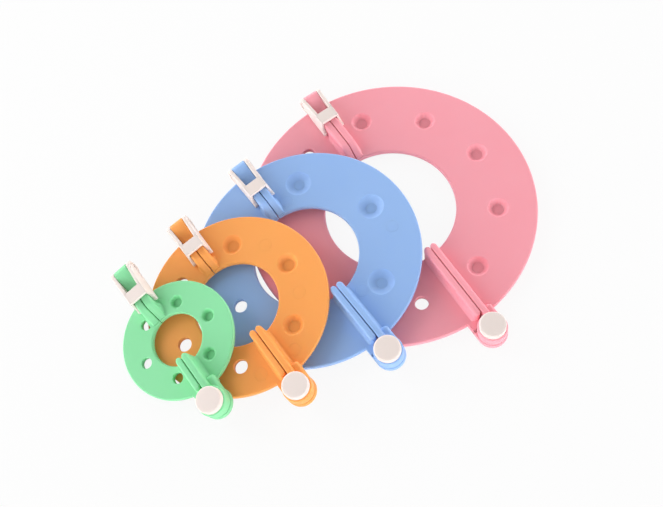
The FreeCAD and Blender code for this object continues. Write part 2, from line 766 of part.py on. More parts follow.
def clearance(colour, placement, below, below_placement):
    """Least height of a frame over the one below it, or over the table if there is none."""
    gaps = []
    for point in underside_points(colour):
        place = placement.multVec(point)
        if below is None:
            gaps.append(place.z)
            continue
        local = below_placement.inverse().multVec(place)
        reach = math.hypot(local.x, local.y)
        inner = size_of(f"{below}_inner_radius")
        outer = size_of(f"{below}_outer_radius")
        if inner < reach < outer:
            gaps.append(local.z - size_of("plate_thickness") - size_of("rest_gap"))
    if below is not None:
        for point in rim_points(below):
            local = placement.inverse().multVec(below_placement.multVec(point))
            if math.hypot(local.x, local.y) < size_of(f"{colour}_outer_radius"):
                gaps.append(-local.z - size_of("rest_gap"))
    return min(gaps)


def settle(colour, below, below_placement):
    """Lean a frame just far enough to lie clear on the one below it."""
    low, high = 0.0, STEEPEST_LEAN
    for _ in range(LEAN_STEPS):
        middle = (low + high) / 2
        if clearance(colour, lean_placement(colour, middle), below, below_placement) < 0:
            low = middle
        else:
            high = middle
    return high, lean_placement(colour, high)


def build_ring(colour, placement):
    """All the pieces of one frame, put in their place."""
    builders = (build_dimple_arm, build_holed_arm, build_hinge_pin, build_hinge_cap, build_clasp)
    bodies = [builder(colour) for builder in builders]
    for body in bodies:
        body.Placement = placement
    return bodies


def check_document(bodies):
    """Stop if any object failed or any sub-part isn't one sound solid."""
    doc.recompute()
    for item in doc.Objects:
        if "Invalid" in item.State or "Error" in item.State:
            raise RuntimeError(f"{item.Label} failed: {item.State}")
    for body in bodies:
        shape = body.Shape
        if shape.isNull() or not shape.isValid() or len(shape.Solids) != 1:
            raise RuntimeError(f"{body.Label} isn't one sound solid")


def main():
    """Settle the four frames on each other, build them and write their files."""
    bodies = []
    below = None
    below_placement = None
    for colour in RING_SIZES:
        lean, placement = settle(colour, below, below_placement)
        print(f"{colour}: leans {lean:.3f} degrees, centre {placement.Base}")
        bodies += build_ring(colour, placement)
        below = colour
        below_placement = placement
    check_document(bodies)
    os.makedirs("parts", exist_ok=True)
    for body in bodies:
        body.Shape.exportStep(f"parts/{body.Label}.step")
        print(f"{body.Label}: {body.Shape.Volume:.1f} mm3")


main()
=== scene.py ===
"""Set of four hinged ring frames for pom poms, dressed to match its photograph.

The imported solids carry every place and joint. Each ring frame's own axes are read from
its hinge and clasp joints, and the pieces made here are built in those axes.
"""

import json
import logging
import math
from collections.abc import Callable, Sequence
from dataclasses import dataclass
from enum import Enum
from typing import Any

import bmesh
import bpy
from mathutils import Matrix, Vector


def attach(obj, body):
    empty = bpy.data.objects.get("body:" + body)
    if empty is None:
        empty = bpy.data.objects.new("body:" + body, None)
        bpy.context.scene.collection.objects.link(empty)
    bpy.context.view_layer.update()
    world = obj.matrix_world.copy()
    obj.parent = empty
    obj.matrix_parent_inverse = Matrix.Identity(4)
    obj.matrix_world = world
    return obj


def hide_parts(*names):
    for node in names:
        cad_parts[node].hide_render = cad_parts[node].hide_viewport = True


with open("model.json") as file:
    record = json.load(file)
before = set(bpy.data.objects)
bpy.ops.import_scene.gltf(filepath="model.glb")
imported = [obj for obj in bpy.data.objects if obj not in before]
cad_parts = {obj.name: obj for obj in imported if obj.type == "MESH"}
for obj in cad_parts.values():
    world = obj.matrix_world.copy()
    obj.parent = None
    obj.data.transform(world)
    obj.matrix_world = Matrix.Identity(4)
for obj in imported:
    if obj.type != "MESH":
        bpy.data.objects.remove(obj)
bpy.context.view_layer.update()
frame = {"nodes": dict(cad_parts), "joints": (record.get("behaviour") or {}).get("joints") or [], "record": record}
MM = 0.001

log = logging.getLogger("pom_pom_frames")

Rgb = tuple[float, float, float]


def linear(srgb: Rgb) -> tuple[float, float, float, float]:
    """Turn red, green and blue, from 0 to 255, into the linear colour that a shader takes."""
    def one(value: float) -> float:
        """Linear value of one channel."""
        share = value / 255.0
        return share / 12.92 if share <= 0.04045 else ((share + 0.055) / 1.055) ** 2.4

    return (one(srgb[0]), one(srgb[1]), one(srgb[2]), 1.0)


class Colour(Enum):
    """The four sizes, each known by the colour that it is moulded in."""

    PINK = "pink"
    BLUE = "blue"
    ORANGE = "orange"
    GREEN = "green"


Point = tuple[float, float, float]
Flat = tuple[float, float]
Feeds = dict[Any, Any] | None


@dataclass(frozen=True)
class CommonSizes:
    """Sizes that all four frames share, in millimetres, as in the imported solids."""

    thickness: float = 2.4
    rim_round: float = 0.7
    seam_half: float = 0.15
    rib_height: float = 8.0
    rib_width: float = 2.6
    rib_overhang: float = 1.7
    rib_end_reach: float = 0.6
    rib_post_reach: float = 2.4
    rib_foot: float = 1.5
    clasp_rib_height: float = 7.7
    clasp_rib_width: float = 3.05
    clasp_foot: float = 1.2
    ramp_length: float = 6.8
    hinge_reach: float = 7.0
    ear_radius: float = 5.8
    knuckle_radius: float = 5.6
    knuckle_low: float = 2.7
    knuckle_top: float = 7.5
    neck_top: float = 5.4
    neck_depth: float = 2.6
    neck_corner: float = 1.9
    bore_radius: float = 1.56
    recess_radius: float = 2.8
    recess_depth: float = 1.2
    cap_radius: float = 5.0
    cap_height: float = 2.8
    axis_height: float = 5.9
    barrel_radius: float = 2.9
    barrel_inner_top: float = 6.5
    barrel_back_gap: float = 0.6
    barrel_widths: Flat = (5.2, 5.94)
    link_height: float = 5.4
    rib_end_inset: float = 0.9
    trunnion_radius: float = 1.6
    cheek_end_radius: float = 3.0
    clasp_top: float = 9.6
    clasp_height: float = 6.7
    bridge_low: float = 8.25
    bridge_length: float = 5.7
    bridge_visible: float = 5.1
    bridge_to_barrel: float = 11.85
    prong_length: float = 2.1
    prong_tip_top: float = 4.4
    cheek_outside: Flat = (4.05, 4.4)
    cheek_flare: float = 0.8
    window_half: Flat = (2.65, 3.02)
    channel_half: float = 3.3
    peg_length: float = 1.6
    peg_clearance: float = 0.3
    peg_taper: float = 0.7
    dimple_depth: float = 3.0
    dimple_skin: float = 0.5
    dimple_share: float = 1.06
    dimple_lip: float = 0.7
    dimple_lip_turn: float = 150.0
    bowl_powers: Flat = (1.2, 2.6)
    bowl_crowding: float = 1.3
    hole_lip: float = 0.25
    cut_over: float = 1.0
    peg_root_in: float = 0.4
    peg_tip_round: float = 0.2
    rib_low: float = 0.8
    rib_inner_round: float = 0.45
    rib_outer_round: float = 1.1
    rib_foot_share: float = 0.55
    rib_end_drop: float = 0.5
    link_out: float = 1.4
    link_in: float = 2.0
    knuckle_round: float = 0.55
    neck_round: float = 1.2
    neck_overlap: float = 0.3
    barrel_round: float = 0.35
    trunnion_short: float = 0.3
    trunnion_round: float = 0.25
    ear_round: float = 0.4
    ear_chamfer: float = 0.3
    ear_neck_run: float = 5.0
    cheek_round: float = 0.4
    prong_round: float = 0.3
    prong_drop: float = 0.6
    prong_overlap: float = 1.2
    bridge_round: float = 0.3
    hollow_run: float = 4.2
    hollow_radius: float = 1.9
    hollow_depth: float = 0.45
    hollow_reach: float = 7.0
    hollow_round: float = 0.15
    flare_run: float = 0.4
    cap_bore_depth: float = 1.6
    cap_round: float = 0.8
    mark_height: float = 0.06
    mark_root_in: float = 0.2
    mark_radii: tuple[float, ...] = (2.25, 2.35, 2.5, 2.6)
    overlap: float = 0.02


@dataclass(frozen=True)
class Strips:
    """How many strips the round forms are made of."""

    rim: int = 5
    ring: int = 240
    hole: int = 56
    bowl: int = 10
    peg: int = 48
    hinge: int = 72
    cap: int = 80
    quarter: int = 6
    ramp: int = 32
    barrel_top: int = 8


COMMON = CommonSizes()
STRIPS = Strips()


@dataclass(frozen=True)
class RingSizes:
    """Sizes of one ring frame, in millimetres and degrees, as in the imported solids."""

    colour: Colour
    outer: float
    inner: float
    dimple: float
    hole: float
    pattern: float
    turn: float
    count: int
    seam: float
    overhang: float
    marks: tuple[Flat, ...] = ()

    @property
    def name(self) -> str:
        """The frame's name in the record."""
        return self.colour.value

    @property
    def pivot(self) -> float:
        """Distance from the ring's centre to the hinge."""
        return self.outer + COMMON.hinge_reach

    @property
    def barrel(self) -> float:
        """Distance from the ring's centre to the clasp's axis."""
        return self.outer + self.overhang

    @property
    def bridge_outer(self) -> float:
        """Distance from the ring's centre to the far side of the clasp's bridge."""
        return self.barrel - COMMON.bridge_to_barrel + COMMON.bridge_length / 2

    @property
    def bridge_inner(self) -> float:
        """Distance from the ring's centre to the near side of the clasp's bridge."""
        return self.bridge_outer - COMMON.bridge_visible

    @property
    def prong_tip(self) -> float:
        """Distance from the ring's centre to the tips of the clasp's prongs."""
        return self.bridge_inner - COMMON.prong_length


RINGS: tuple[RingSizes, ...] = (
    RingSizes(Colour.PINK, 57.5, 26.0, 3.5, 2.65, 42.3, 0.0, 5, 1.6, 1.7),
    RingSizes(
        Colour.BLUE, 45.0, 20.75, 4.5, 2.6, 31.8, 0.0, 3, 1.2, 1.0,
        marks=((25.4, 161.9), (35.2, 69.8), (27.0, 17.9)),
    ),
    RingSizes(
        Colour.ORANGE, 36.25, 16.75, 3.5, 2.7, 24.8, 0.0, 3, 0.2, 3.65,
        marks=((25.7, 118.6), (24.9, 60.0), (30.4, 13.9), (30.1, -15.5)),
    ),
    RingSizes(Colour.GREEN, 23.0, 10.2, 2.15, 2.1, 14.8, -3.0, 3, -1.4, 11.3),
)


def ring_axes(ring: RingSizes) -> Matrix:
    """Find a ring frame's own axes from its hinge and clasp joints.

    The matrix leads from millimetres in the frame's own axes (X to the hinge, Y to the
    dimple arm, Z up from the plate's back) to metres in the shared frame.
    """
    joints = {joint["name"]: joint for joint in frame["joints"]}
    swing, flip = joints[f"{ring.name}_swing"], joints[f"{ring.name}_flip"]
    up = Vector(swing["axis"]).normalized()
    across = -Vector(flip["axis"]).normalized()
    ahead = across.cross(up)
    pivot = Vector(swing["pos_m"])
    origin = pivot - (ahead * ring.pivot + across * ring.seam + up * COMMON.thickness) * MM
    turn = Matrix((ahead, across, up)).transposed().to_4x4()
    return Matrix.Translation(origin) @ turn @ Matrix.Scale(MM, 4)


def arc(centre: Flat, radius: float, start: float, end: float, steps: int) -> list[Flat]:
    """Points along an arc, from one heading to another, in degrees and in so many steps."""
    headings = (math.radians(start + (end - start) * step / steps) for step in range(steps + 1))
    x, y = centre
    return [(x + radius * math.cos(turn), y + radius * math.sin(turn)) for turn in headings]


def smooth(share: float) -> float:
    """Ease a share, clipped to 0 to 1, so that it starts and ends level."""
    share = min(max(share, 0.0), 1.0)
    return share * share * (3.0 - 2.0 * share)


class Shells:
    """Closed shells gathered into one mesh, in a frame's own axes and in millimetres."""

    def __init__(self) -> None:
        self.mesh = bmesh.new()

    def loft(self, sections: Sequence[Sequence[Point]], looped: bool = False) -> None:
        """Skin a row of sections with the same number of points.

        Args:
            sections: closed sections, in order.
            looped: whether the last section joins the first, in place of two end caps.
        """
        rows = [[self.mesh.verts.new(point) for point in section] for section in sections]
        following = rows[1:] + (rows[:1] if looped else [])
        for near, far in zip(rows, following):
            for here, there in zip(range(len(near)), [*range(1, len(near)), 0]):
                self.mesh.faces.new((near[here], near[there], far[there], far[here]))
        if not looped:
            self.mesh.faces.new(rows[0])
            self.mesh.faces.new(rows[-1])

    def lathe(self, place: Flat, profile: Sequence[Flat], steps: int = 64) -> None:
        """Turn a profile about an upright axis.

        Args:
            place: X and Y of the axis.
            profile: closed profile of radius and height.
            steps: sections round the axis.
        """
        sections = []
        for step in range(steps):
            turn = 2.0 * math.pi * step / steps
            across, along = math.cos(turn), math.sin(turn)
            sections.append([(place[0] + r * across, place[1] + r * along, z) for r, z in profile])
        self.loft(sections, looped=True)

    def slab(
        self,
        outline: Sequence[Flat],
        low: Callable[[float], float],
        high: Callable[[float], float],
        edge: float,
        steps: int = 3,
    ) -> None:
        """Fill a side outline between two upright faces, with rounded edges.

        Args:
            outline: closed outline in X and Z, anticlockwise.
            low: Y of the near face at an X.
            high: Y of the far face at an X.
            edge: radius of the rounded edges.
            steps: strips round each edge.
        """
        count = len(outline)
        shifts = []
        for here in range(count):
            before, point, after = outline[here - 1], outline[here], outline[(here + 1) % count]
            first = Vector((point[1] - before[1], before[0] - point[0])).normalized()
            second = Vector((after[1] - point[1], point[0] - after[0])).normalized()
            both = first + second
            shifts.append(both * (2.0 / max(both.length_squared, 1.0)))
        sections = []
        turns = [math.pi / 2 * (1.0 - step / steps) for step in range(steps + 1)]
        for face, sign, order in ((low, 1.0, turns), (high, -1.0, turns[::-1])):
            for turn in order:
                inset = edge * (1.0 - math.cos(turn))
                section = []
                for (along, height), shift in zip(outline, shifts):
                    section.append((
                        along - shift.x * inset,
                        face(along) + sign * (edge - edge * math.sin(turn)),
                        height - shift.y * inset,
                    ))
                sections.append(section)
        self.loft(sections)

    def add(self, mesh: bpy.types.Mesh) -> None:
        """Take in the faces of a finished mesh in the same axes, and remove it."""
        self.mesh.from_mesh(mesh)
        bpy.data.meshes.remove(mesh)

    def to_mesh(self, name: str) -> bpy.types.Mesh:
        """Close the gathering and hand over its mesh, in millimetres and with its faces outward."""
        bmesh.ops.remove_doubles(self.mesh, verts=self.mesh.verts, dist=1e-4)
        bmesh.ops.dissolve_degenerate(self.mesh, edges=self.mesh.edges, dist=1e-5)
        bmesh.ops.recalc_face_normals(self.mesh, faces=self.mesh.faces)
        mesh = bpy.data.meshes.new(name)
        self.mesh.to_mesh(mesh)
        self.mesh.free()
        return mesh


def bare_object(name: str, mesh: bpy.types.Mesh) -> bpy.types.Object:
    """Link a mesh as an object at the origin."""
    made = bpy.data.objects.new(name, mesh)
    bpy.context.scene.collection.objects.link(made)
    return made


def evaluated(made: bpy.types.Object, name: str) -> bpy.types.Mesh:
    """Take an object's mesh with its modifiers worked in, and remove the object."""
    graph = bpy.context.evaluated_depsgraph_get()
    graph.update()
    mesh = bpy.data.meshes.new_from_object(made.evaluated_get(graph), depsgraph=graph)
    mesh.name = name
    old = made.data
    bpy.data.objects.remove(made)
    if old and old.users == 0:
        bpy.data.meshes.remove(old)
    return mesh


def carved(mesh: bpy.types.Mesh, tool: bpy.types.Mesh) -> bpy.types.Mesh:
    """Cut a tool out of a mesh, remove both and take the rest."""
    name = mesh.name
    made, other = bare_object(name, mesh), bare_object(f"{name}_tool", tool)
    change = made.modifiers.new("carve", "BOOLEAN")
    change.operation = "DIFFERENCE"
    change.solver = "EXACT"
    change.use_self = True
    change.object = other
    result = evaluated(made, name)
    bpy.data.objects.remove(other)
    bpy.data.meshes.remove(tool)
    return result


def feed(node: bpy.types.Node, feeds: dict[Any, Any]) -> None:
    """Set a node's inputs, or link them to other nodes' outputs.

    Args:
        node: the node.
        feeds: for each input, by name or place, a value or an output.
    """
    for label, value in feeds.items():
        if isinstance(value, bpy.types.NodeSocket):
            node.id_data.links.new(value, node.inputs[label])
        else:
            node.inputs[label].default_value = value


def add_node(tree: bpy.types.NodeTree, kind: str, feeds: Feeds = None, **settings: Any) -> Any:
    """Add a node to a tree.

    Args:
        tree: the tree.
        kind: the node's type name.
        feeds: values or outputs for its inputs.
        settings: attributes to set on it.

    Returns:
        The node.
    """
    node = tree.nodes.new(kind)
    for key, value in settings.items():
        setattr(node, key, value)
    feed(node, feeds or {})
    return node


def maths(tree: bpy.types.NodeTree, operation: str, *values: Any) -> Any:
    """Add a maths node to a tree and take its output."""
    return add_node(tree, "ShaderNodeMath", dict(enumerate(values)), operation=operation).outputs[0]


class NodeRow:
    """Geometry Nodes tree under construction, with named inputs."""

    def __init__(self, name: str, inputs: Sequence[tuple[str, str]]) -> None:
        self.tree = bpy.data.node_groups.new(name, "GeometryNodeTree")
        face = self.tree.interface
        self.sockets = {}
        for label, kind in inputs:
            socket = face.new_socket(name=label, in_out="INPUT", socket_type=f"NodeSocket{kind}")
            self.sockets[label] = socket.identifier
        face.new_socket(name="Geometry", in_out="OUTPUT", socket_type="NodeSocketGeometry")
        self.given = self.tree.nodes.new("NodeGroupInput").outputs
        self.result = self.tree.nodes.new("NodeGroupOutput")

    def node(self, kind: str, feeds: Feeds = None, output: int | str = 0, **settings: Any) -> Any:
        """Add a geometry node and take one of its outputs."""
        return add_node(self.tree, f"GeometryNode{kind}", feeds, **settings).outputs[output]

    def vector(self, **parts: Any) -> Any:
        """Put numbers together as a vector and take it."""
        return add_node(self.tree, "ShaderNodeCombineXYZ", parts).outputs[0]

    def cut(self, body: Any, tool: Any) -> Any:
        """Cut one mesh out of another and take the rest."""
        feeds = {"Mesh 1": body, "Mesh 2": tool}
        return self.node("MeshBoolean", feeds, operation="DIFFERENCE", solver="EXACT")

    def close(self, geometry: Any) -> None:
        """Make the geometry real, give it the material and end the tree with it."""
        real = self.node("RealizeInstances", {"Geometry": geometry})
        painted = self.node("SetMaterial", {"Geometry": real, "Material": self.given["Material"]})
        feed(self.result, {"Geometry": painted})

    def apply(self, made: bpy.types.Object, values: dict[str, Any]) -> None:
        """Put the tree on an object, with a value for each named input."""
        change = made.modifiers.new(self.tree.name, "NODES")
        change.node_group = self.tree
        for label, value in values.items():
            change[self.sockets[label]] = value


class HalfRingRule(NodeRow):
    """Half ring with rounded rims: a section turned about the centre and cut at the seam."""

    def __init__(self) -> None:
        super().__init__("half_ring", (
            ("Geometry", "Geometry"),
            ("Inner Radius", "Float"),
            ("Outer Radius", "Float"),
            ("Thickness", "Float"),
            ("Rim Round", "Float"),
            ("Steps", "Int"),
            ("Cut Middle", "Float"),
            ("Cut Size", "Float"),
            ("Material", "Material"),
        ))
        tree, given = self.tree, self.given
        outer, inner, thickness, size = (
            given[label] for label in ("Outer Radius", "Inner Radius", "Thickness", "Cut Size")
        )
        width = maths(tree, "SUBTRACT", outer, inner)
        middle = maths(tree, "MULTIPLY", maths(tree, "ADD", outer, inner), 0.5)
        section = self.node("CurvePrimitiveQuadrilateral", {"Width": width, "Height": thickness})
        rounding = {"Curve": section, "Count": STRIPS.rim, "Radius": given["Rim Round"]}
        rounded = self.node("FilletCurve", rounding, mode="POLY")
        path = self.node("CurvePrimitiveCircle", {"Resolution": given["Steps"], "Radius": middle})
        swept = self.node("CurveToMesh", {"Curve": path, "Profile Curve": rounded})
        lift = self.vector(Z=maths(tree, "MULTIPLY", thickness, 0.5))
        raised = self.node("Transform", {"Geometry": swept, "Translation": lift})
        block = self.node("MeshCube", {"Size": self.vector(X=size, Y=size, Z=size)})
        aside = self.vector(Y=given["Cut Middle"])
        self.close(self.cut(raised, self.node("Transform", {"Geometry": block, "Translation": aside})))


class ArcPattern(NodeRow):
    """Cutters, and pegs, spread evenly along an arc: the cutters cut the mesh, the pegs join it."""

    def __init__(self) -> None:
        super().__init__("arc_pattern", (
            ("Geometry", "Geometry"),
            ("Count", "Int"),
            ("Pattern Radius", "Float"),
            ("First Angle", "Float"),
            ("Step Angle", "Float"),
            ("Cutter", "Object"),
            ("Peg", "Object"),
            ("Material", "Material"),
        ))
        tree, given = self.tree, self.given
        line = self.node("MeshLine", {"Count": given["Count"]})
        turned = maths(tree, "MULTIPLY", self.node("InputIndex"), given["Step Angle"])
        angle = maths(tree, "ADD", turned, given["First Angle"])
        along, aside = (
            maths(tree, "MULTIPLY", maths(tree, operation, angle), given["Pattern Radius"])
            for operation in ("COSINE", "SINE")
        )
        spread = self.node("SetPosition", {"Geometry": line, "Position": self.vector(X=along, Y=aside)})
        rest = self.cut(given["Geometry"], self.copies(spread, given["Cutter"]))
        joined = add_node(tree, "GeometryNodeJoinGeometry", {0: rest})
        feed(joined, {0: self.copies(spread, given["Peg"])})
        self.close(joined.outputs[0])

    def copies(self, points: Any, source: Any) -> Any:
        """Put a copy of an object on every point and take the copies, made real."""
        shape = self.node("ObjectInfo", {"Object": source}, "Geometry")
        copied = self.node("InstanceOnPoints", {"Points": points, "Instance": shape})
        return self.node("RealizeInstances", {"Geometry": copied})


class Side(Enum):
    """The two arms of a frame, by the sign of their Y."""

    DIMPLE = 1
    HOLED = -1


class Workshop:
    """What all the pieces share: the node trees, the materials and how a piece is handed over."""

    smooth_angle = math.radians(38.0)
    face_weight = 80

    def __init__(self, materials: dict[str, bpy.types.Material]) -> None:
        self.materials = materials
        self.half_ring = HalfRingRule()
        self.arc_pattern = ArcPattern()

    def hand_over(
        self, name: str, mesh: bpy.types.Mesh, ring: RingSizes, slot: str, body: str, node: str
    ) -> None:
        """Args:
            name: the piece's name.
            mesh: its mesh in the ring frame's own axes.
            ring: the ring frame.
            slot: material slot of the record.
            body: moving body that carries it.
            node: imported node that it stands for.
        """
        mesh.materials.clear()
        mesh.materials.append(self.materials[slot])
        mesh.transform(ring_axes(ring))
        mesh.shade_smooth()
        mesh.set_sharp_from_angle(angle=self.smooth_angle)
        made = bare_object(f"{name}_work", mesh)
        weight = made.modifiers.new("weights", "WEIGHTED_NORMAL")
        weight.keep_sharp = True
        weight.weight = self.face_weight
        final = bare_object(name, evaluated(made, name))
        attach(final, body)
        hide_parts(node)
        log.info("%s: %d faces, on %s", name, len(final.data.polygons), body)


class Arm:
    """One arm of a ring frame: plate, ribs and what its side adds."""

    def __init__(self, shop: Workshop, ring: RingSizes, side: Side) -> None:
        self.shop, self.ring, self.side = shop, ring, side
        self.kind = "dimple_arm" if side is Side.DIMPLE else "holed_arm"
        self.material = shop.materials[f"{ring.name}_plastic"]
        self.shells = Shells()

    def across(self, distance: float) -> float:
        """Y of a point this far from the seam, on this arm's side."""
        return self.ring.seam + self.side.value * distance

    def plate(self) -> None:
        """Half ring with its dimples and stub pegs, or with its see-through holes."""
        ring = self.ring
        blank = bare_object("plate_blank", bpy.data.meshes.new("plate_blank"))
        cut_size = 4.0 * ring.outer
        self.shop.half_ring.apply(blank, {
            "Inner Radius": ring.inner,
            "Outer Radius": ring.outer,
            "Thickness": COMMON.thickness,
            "Rim Round": COMMON.rim_round,
            "Steps": STRIPS.ring,
            "Cut Middle": self.across(COMMON.seam_half - cut_size / 2),
            "Cut Size": cut_size,
            "Material": self.material,
        })
        cutter = bare_object("cutter", self.cutter())
        peg = bare_object("peg", self.peg())
        step = self.side.value * math.pi / ring.count
        self.shop.arc_pattern.apply(blank, {
            "Count": ring.count,
            "Pattern Radius": ring.pattern,
            "First Angle": math.radians(ring.turn) + step / 2,
            "Step Angle": step,
            "Cutter": cutter,
            "Peg": peg,
            "Material": self.material,
        })
        self.shells.add(evaluated(blank, "plate"))
        for helper in (cutter, peg):
            shape = helper.data
            bpy.data.objects.remove(helper)
            bpy.data.meshes.remove(shape)

    def cutter(self) -> bpy.types.Mesh:
        """Shape that makes a dimple, or a see-through hole with softened rims."""
        tool = Shells()
        top, over = COMMON.thickness, COMMON.cut_over
        if self.side is Side.DIMPLE:
            mouth, lip = self.ring.dimple * COMMON.dimple_share, COMMON.dimple_lip
            floor = top - COMMON.dimple_depth
            curve = arc((mouth + lip, top - lip), lip, 90.0, COMMON.dimple_lip_turn, 4)
            wall, rise = curve[-1][0], curve[-1][1] - floor
            peg_share = (self.ring.hole - COMMON.peg_clearance) / wall
            power = math.log((COMMON.dimple_skin - floor) / rise) / math.log(peg_share)
            power = min(max(power, COMMON.bowl_powers[0]), COMMON.bowl_powers[1])
            steps = range(1, STRIPS.bowl + 1)
            shares = [1.0 - (step / STRIPS.bowl) ** COMMON.bowl_crowding for step in steps]
            bowl = [(wall * share, floor + rise * share ** power) for share in shares]
            profile = [(0.0, top + over), (mouth + lip, top + over), *curve, *bowl]
        else:
            hole, lip = self.ring.hole, COMMON.hole_lip
            upper = arc((hole + lip, top - lip), lip, 90.0, 180.0, 4)
            lower = arc((hole + lip, lip), lip, 180.0, 270.0, 4)
            profile = [(0.0, top + over), (hole + lip, top + over), *upper, *lower]
            profile += [(hole + lip, -over), (0.0, -over)]
        tool.lathe((0.0, 0.0), profile, STRIPS.hole)
        return tool.to_mesh("cutter")

    def peg(self) -> bpy.types.Mesh:
        """Stub peg under a dimple. The holed arm has none."""
        tool = Shells()
        if self.side is Side.DIMPLE:
            root = self.ring.hole - COMMON.peg_clearance
            tip = root * COMMON.peg_taper
            low, inside, edge = -COMMON.peg_length, COMMON.peg_root_in, COMMON.peg_tip_round
            profile = [(0.0, inside), (root, inside), (root, 0.0)]
            profile += [(tip + edge, low + edge), (tip, low), (0.0, low)]
            tool.lathe((0.0, 0.0), profile, STRIPS.peg)
        return tool.to_mesh("peg")

    def rib_section(self, along: float, near: float, far: float, top: float, foot: float) -> list[Point]:
        """Section across a rib: upright at the seam, round on top, and flared at its foot.

        Args:
            along: X of the section.
            near: distance of the seam face from the seam.
            far: distance of the outer flank from the seam.
            top: height of the rib.
            foot: how far the flare reaches out.

        Returns:
            The section's points.
        """
        plate, low, quarter = COMMON.thickness, COMMON.rib_low, STRIPS.quarter
        inner_round = min(COMMON.rib_inner_round, (far - near) * 0.3)
        outer_round = min(COMMON.rib_outer_round, (far - near) * 0.5, max(top - plate, 0.05))
        foot_top = plate + COMMON.rib_foot_share * max(top - plate - outer_round, 0.02)
        points = [(near + 0.12, low), (near + 0.12, plate - 0.1), (near, plate)]
        points += arc((near + inner_round, top - inner_round), inner_round, 180.0, 90.0, 3)
        points += arc((far - outer_round, top - outer_round), outer_round, 90.0, 0.0, 5)
        for step in range(quarter + 1):
            turn = math.pi / 2 * step / quarter
            reach = far + foot * (1.0 - math.cos(turn))
            points.append((reach, foot_top - (foot_top - plate + 0.06) * math.sin(turn)))
        points.append((far + foot, low))
        return [(along, self.across(distance), height) for distance, height in points]

    def hinge_rib(self) -> None:
        """Round-ended wall along the seam from the hole to the hinge."""
        near = COMMON.seam_half
        far = near + COMMON.rib_width
        half = COMMON.rib_width / 2
        start = self.ring.inner - COMMON.rib_overhang
        joined = self.side is Side.DIMPLE
        end = self.ring.outer + (COMMON.rib_post_reach if joined else COMMON.rib_end_reach)
        quarter = STRIPS.quarter
        shares = [math.sin(math.pi / 2 * step / quarter) for step in range(1, quarter + 1)]
        stations = [(start + half * (1.0 - math.cos(math.asin(share))), share) for share in shares]
        stations += [(start + 2.6, 1.0), (end - 2.0, 1.0)]
        stations += [(end - half * (1.0 - math.cos(math.asin(share))), share) for share in reversed(shares)]
        sections = []
        for along, share in stations:
            middle, reach = (near + far) / 2, half * share
            top = COMMON.rib_height - COMMON.rib_end_drop * (1.0 - share)
            foot = COMMON.rib_foot * smooth((along - start - 1.0) / 2.0) + COMMON.overlap
            foot = foot * smooth((end - along) / 1.5) + COMMON.overlap
            sections.append(self.rib_section(along, middle - reach, middle + reach, top, foot))
        self.shells.loft(sections)

    def clasp_rib(self) -> None:
        """Wall along the seam from under the clasp's bridge, ramping down to the hole."""
        near = COMMON.seam_half
        far = near + COMMON.clasp_rib_width
        start = self.ring.bridge_outer - COMMON.rib_end_inset
        end = self.ring.inner + 0.45
        reach = start - end
        sections = []
        for step in range(STRIPS.ramp + 1):
            distance = start - reach * step / STRIPS.ramp
            climb = smooth((distance - end + 0.6) / COMMON.ramp_length)
            top = COMMON.thickness + 0.25 + (COMMON.clasp_rib_height - COMMON.thickness - 0.25) * climb
            foot = COMMON.clasp_foot * smooth((self.ring.prong_tip - 0.3 - distance) / 1.6)
            sections.append(self.rib_section(-distance, near, far, top, foot + COMMON.overlap))
        self.shells.loft(sections)

    def marks(self) -> None:
        """Faint rings left by the mould's ejector pins."""
        low = COMMON.thickness - COMMON.mark_root_in
        high = COMMON.thickness + COMMON.mark_height
        hole, crest, brow, edge = COMMON.mark_radii
        for radius, heading in self.ring.marks:
            if (heading > 0) is not (self.side is Side.DIMPLE):
                continue
            turn = math.radians(heading)
            place = (radius * math.cos(turn), radius * math.sin(turn))
            profile = [(hole, low), (hole, high - 0.02), (crest, high), (brow, high)]
            profile += [(edge, high - 0.04), (edge, low)]
            self.shells.lathe(place, profile, STRIPS.peg)

    def build(self) -> None:
        """Make the whole arm and hand it over."""
        self.plate()
        self.hinge_rib()
        self.clasp_rib()
        self.marks()
        self.extras()
        name = f"{self.ring.name}_{self.kind}"
        body = f"{self.ring.name}_{'base' if self.side is Side.DIMPLE else 'arm'}"
        mesh = self.shells.to_mesh(name)
        self.shop.hand_over(f"{name}_moulding", mesh, self.ring, f"{self.ring.name}_plastic", body, name)

    def extras(self) -> None:
        """Add what only this side has."""


